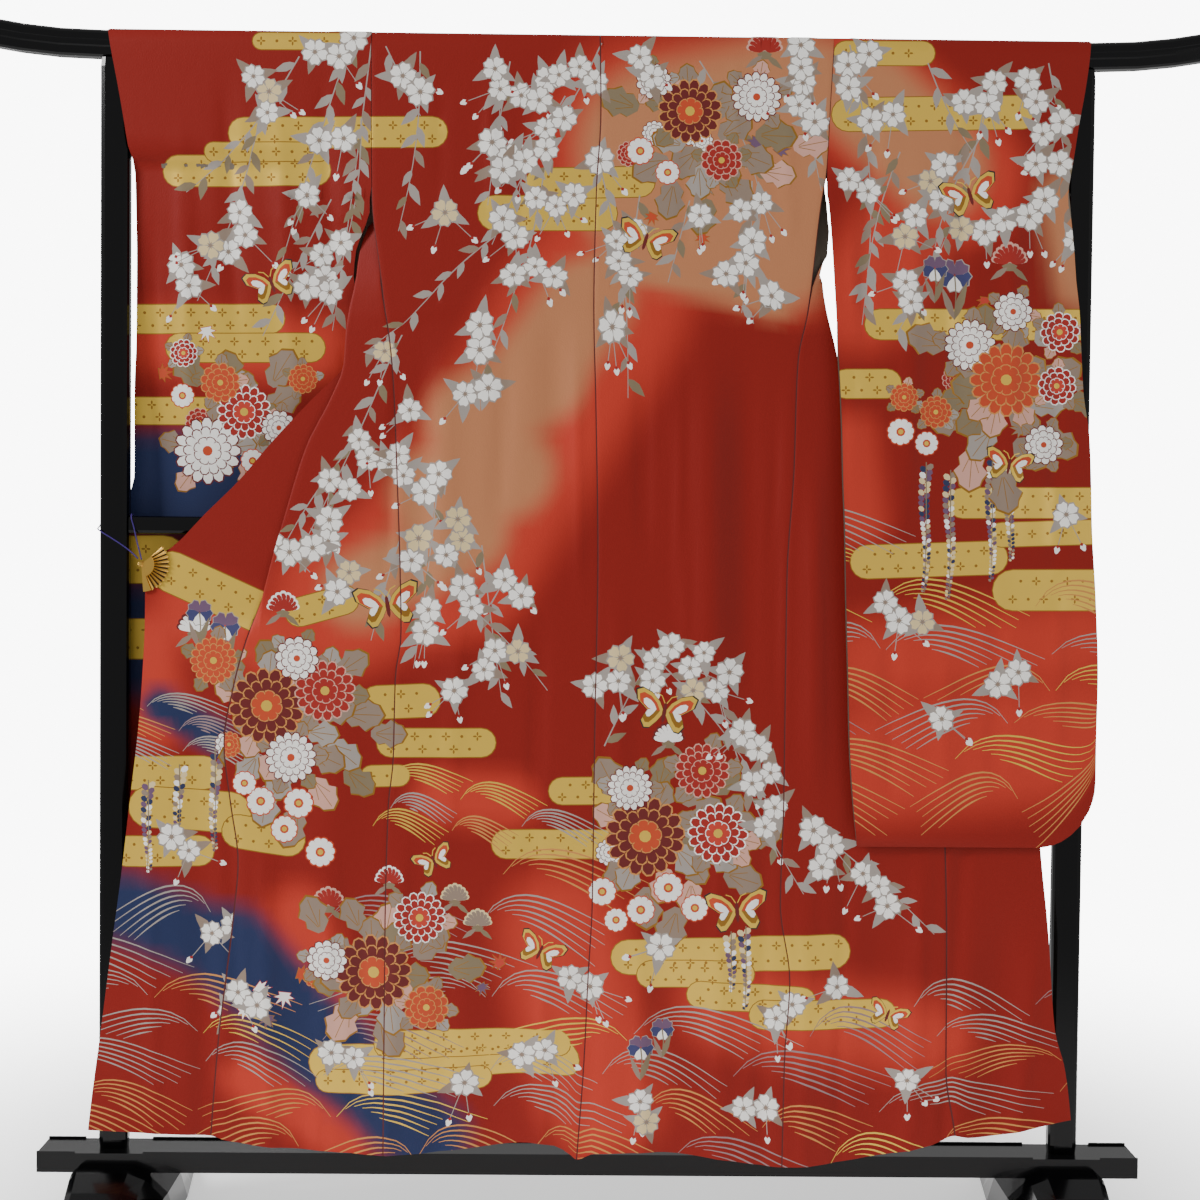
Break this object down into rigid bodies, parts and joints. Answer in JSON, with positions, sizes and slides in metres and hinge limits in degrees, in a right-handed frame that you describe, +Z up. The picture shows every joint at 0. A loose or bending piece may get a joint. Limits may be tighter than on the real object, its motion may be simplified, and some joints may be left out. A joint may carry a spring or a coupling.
{
  "type": "furisode kimono on kimono stand",
  "caption": "Long-sleeved silk kimono hung open over the bar of an upright lacquered stand, back outward, one front corner drawn aside and held to a post by a fan clip.",
  "frame": {"origin": "floor level at the middle of the stand, midway between the two posts", "axes": "+X along the bar to the right of someone looking at the garment's back, +Y away from that viewer through the stand, +Z up"},
  "size_m": [1.7296, 0.4, 1.6115],
  "materials": {
    "silk": "printed red silk crepe with gold foil",
    "lacquer": "gloss black lacquer",
    "gilt": "polished gilt",
    "cord": "twisted purple cord"
  },
  "bodies": {
    "root": {"back_left": "silk", "back_right": "silk", "front_left": "silk", "front_right": "silk", "okumi_left": "silk", "okumi_right": "silk", "collar": "silk", "sleeve_left": "silk", "sleeve_right": "silk", "top_beam": "lacquer", "post_left": "lacquer", "post_right": "lacquer", "mid_rail": "lacquer", "base_beam": "lacquer", "foot_left": "lacquer", "foot_right": "lacquer", "fan_clip": "gilt", "tie_cord": "cord"}
  },
  "joints": []
}
